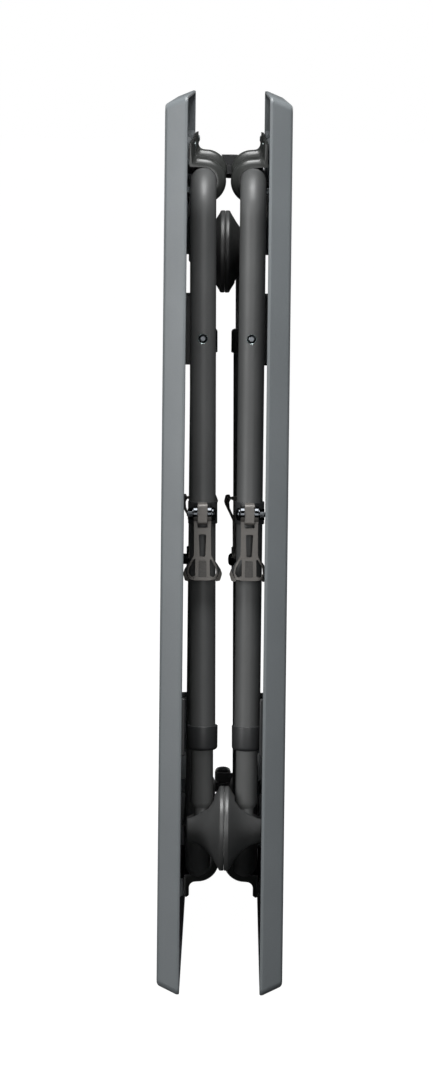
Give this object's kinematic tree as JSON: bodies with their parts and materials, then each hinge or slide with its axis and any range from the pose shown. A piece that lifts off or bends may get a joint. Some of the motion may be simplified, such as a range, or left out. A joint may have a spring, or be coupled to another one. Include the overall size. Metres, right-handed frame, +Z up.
{
  "type": "folding table",
  "caption": "Fold-in-half table, closed and standing on its side edge, with four stowed telescoping legs, lever clamps and swivel feet.",
  "frame": {"origin": "bottom centre of the closed table's box, under the middle of the edge that it stands on", "axes": "+Z up along the table's width, +Y from the open end to the hinge line, +X through the closed thickness, from the left half to the right half"},
  "size_m": [0.1072, 0.7713, 0.762],
  "materials": {
    "panel": "moulded blue-grey plastic with a fine grain",
    "tube": "satin charcoal powder coat",
    "steel": "dark satin powder coat on pressed steel",
    "plastic": "moulded black plastic",
    "rubber": "moulded dark grey foot",
    "cast": "warm grey die casting",
    "chrome": "bright plated steel"
  },
  "bodies": {
    "left_half": {"left_top": "panel", "upper_hinge_pin": "steel", "lower_hinge_pin": "steel", "left_upper_saddle_1": "steel", "left_upper_saddle_2": "steel", "left_upper_cradle": "plastic", "left_upper_hinge_arm": "steel", "left_lower_saddle_1": "steel", "left_lower_saddle_2": "steel", "left_lower_cradle": "plastic", "left_lower_hinge_arm": "steel"},
    "right_half": {"right_top": "panel", "right_upper_saddle_1": "steel", "right_upper_saddle_2": "steel", "right_upper_cradle": "plastic", "right_upper_hinge_arm": "steel", "right_lower_saddle_1": "steel", "right_lower_saddle_2": "steel", "right_lower_cradle": "plastic", "right_lower_hinge_arm": "steel"},
    "left_upper_leg": {"left_upper_leg_tube": "tube", "left_upper_end_plug": "plastic", "left_upper_collar": "plastic", "left_upper_clamp_band": "cast", "left_upper_clamp_pin": "chrome"},
    "left_upper_inner_leg": {"left_upper_slider": "tube", "left_upper_button": "chrome"},
    "left_upper_foot_body": {"left_upper_foot": "rubber", "left_upper_foot_pin": "steel"},
    "left_upper_lever_body": {"left_upper_lever": "cast"},
    "left_lower_leg": {"left_lower_leg_tube": "tube", "left_lower_end_plug": "plastic", "left_lower_collar": "plastic", "left_lower_clamp_band": "cast", "left_lower_clamp_pin": "chrome"},
    "left_lower_inner_leg": {"left_lower_slider": "tube", "left_lower_button": "chrome"},
    "left_lower_foot_body": {"left_lower_foot": "rubber", "left_lower_foot_pin": "steel"},
    "left_lower_lever_body": {"left_lower_lever": "cast"},
    "right_upper_leg": {"right_upper_leg_tube": "tube", "right_upper_end_plug": "plastic", "right_upper_collar": "plastic", "right_upper_clamp_band": "cast", "right_upper_clamp_pin": "chrome"},
    "right_upper_inner_leg": {"right_upper_slider": "tube", "right_upper_button": "chrome"},
    "right_upper_foot_body": {"right_upper_foot": "rubber", "right_upper_foot_pin": "steel"},
    "right_upper_lever_body": {"right_upper_lever": "cast"},
    "right_lower_leg": {"right_lower_leg_tube": "tube", "right_lower_end_plug": "plastic", "right_lower_collar": "plastic", "right_lower_clamp_band": "cast", "right_lower_clamp_pin": "chrome"},
    "right_lower_inner_leg": {"right_lower_slider": "tube", "right_lower_button": "chrome"},
    "right_lower_foot_body": {"right_lower_foot": "rubber", "right_lower_foot_pin": "steel"},
    "right_lower_lever_body": {"right_lower_lever": "cast"}
  },
  "joints": [
    {"name": "table_fold", "type": "hinge", "parent": "left_half", "child": "right_half", "pos_m": [0, 0.37775, 0.381], "axis": [0, 0, 1], "range_deg": [0, 180]},
    {"name": "left_upper_leg_fold", "type": "hinge", "parent": "left_half", "child": "left_upper_leg", "pos_m": [-0.0212, -0.34575, 0.6895], "axis": [0, -1, 0], "range_deg": [0, 80.48]},
    {"name": "left_upper_telescope", "type": "slide", "parent": "left_upper_leg", "child": "left_upper_inner_leg", "axis": [0.0091, 0, -1], "range_m": [0, 0.15]},
    {"name": "left_upper_foot_swivel", "type": "hinge", "parent": "left_upper_inner_leg", "child": "left_upper_foot_body", "pos_m": [-0.0162, -0.34575, 0.13802], "axis": [0, -1, 0], "range_deg": [-80.48, 0]},
    {"name": "left_upper_lever_turn", "type": "hinge", "parent": "left_upper_leg", "child": "left_upper_lever_body", "pos_m": [-0.01866, -0.36355, 0.40951], "axis": [-1, 0, -0.0091], "range_deg": [0, 100]},
    {"name": "left_lower_leg_fold", "type": "hinge", "parent": "left_half", "child": "left_lower_leg", "pos_m": [-0.0212, -0.16375, 0.0725], "axis": [0, 1, 0], "range_deg": [0, 81]},
    {"name": "left_lower_telescope", "type": "slide", "parent": "left_lower_leg", "child": "left_lower_inner_leg", "axis": [0, 0, 1], "range_m": [0, 0.15]},
    {"name": "left_lower_foot_swivel", "type": "hinge", "parent": "left_lower_inner_leg", "child": "left_lower_foot_body", "pos_m": [-0.0212, -0.16375, 0.624], "axis": [0, 1, 0], "range_deg": [-81, 0]},
    {"name": "left_lower_lever_turn", "type": "hinge", "parent": "left_lower_leg", "child": "left_lower_lever_body", "pos_m": [-0.02368, -0.18138, 0.3525], "axis": [0.9903, -0.1392, 0], "range_deg": [0, 100]},
    {"name": "right_upper_leg_fold", "type": "hinge", "parent": "right_half", "child": "right_upper_leg", "pos_m": [0.0212, -0.34575, 0.6895], "axis": [0, 1, 0], "range_deg": [0, 81]},
    {"name": "right_upper_telescope", "type": "slide", "parent": "right_upper_leg", "child": "right_upper_inner_leg", "axis": [0, 0, -1], "range_m": [0, 0.15]},
    {"name": "right_upper_foot_swivel", "type": "hinge", "parent": "right_upper_inner_leg", "child": "right_upper_foot_body", "pos_m": [0.0212, -0.34575, 0.138], "axis": [0, 1, 0], "range_deg": [-81, 0]},
    {"name": "right_upper_lever_turn", "type": "hinge", "parent": "right_upper_leg", "child": "right_upper_lever_body", "pos_m": [0.0212, -0.36355, 0.4095], "axis": [-1, 0, 0], "range_deg": [0, 100]},
    {"name": "right_lower_leg_fold", "type": "hinge", "parent": "right_half", "child": "right_lower_leg", "pos_m": [0.0212, -0.16375, 0.0725], "axis": [0, -1, 0], "range_deg": [0, 80.48]},
    {"name": "right_lower_telescope", "type": "slide", "parent": "right_lower_leg", "child": "right_lower_inner_leg", "axis": [-0.0091, 0, 1], "range_m": [0, 0.15]},
    {"name": "right_lower_foot_swivel", "type": "hinge", "parent": "right_lower_inner_leg", "child": "right_lower_foot_body", "pos_m": [0.0162, -0.16375, 0.62398], "axis": [0, -1, 0], "range_deg": [-80.48, 0]},
    {"name": "right_lower_lever_turn", "type": "hinge", "parent": "right_lower_leg", "child": "right_lower_lever_body", "pos_m": [0.01496, -0.18116, 0.35246], "axis": [0.9781, -0.2079, 0.0089], "range_deg": [0, 100]}
  ],
  "couplings": [
    {"joint": "left_upper_leg_fold", "follows": "table_fold", "ratio": 0.44711},
    {"joint": "left_upper_foot_swivel", "follows": "table_fold", "ratio": -0.44711},
    {"joint": "left_upper_telescope", "follows": "table_fold", "m_per_rad": 0.04774},
    {"joint": "left_upper_lever_turn", "follows": "table_fold", "ratio": 0.55555},
    {"joint": "left_lower_leg_fold", "follows": "table_fold", "ratio": 0.45},
    {"joint": "left_lower_foot_swivel", "follows": "table_fold", "ratio": -0.45},
    {"joint": "left_lower_telescope", "follows": "table_fold", "m_per_rad": 0.04774},
    {"joint": "right_upper_leg_fold", "follows": "table_fold", "ratio": 0.45},
    {"joint": "right_upper_foot_swivel", "follows": "table_fold", "ratio": -0.45},
    {"joint": "right_upper_telescope", "follows": "table_fold", "m_per_rad": 0.04774},
    {"joint": "right_upper_lever_turn", "follows": "table_fold", "ratio": 0.55555},
    {"joint": "right_lower_leg_fold", "follows": "table_fold", "ratio": 0.44711},
    {"joint": "right_lower_foot_swivel", "follows": "table_fold", "ratio": -0.44711},
    {"joint": "right_lower_telescope", "follows": "table_fold", "m_per_rad": 0.04774}
  ]
}
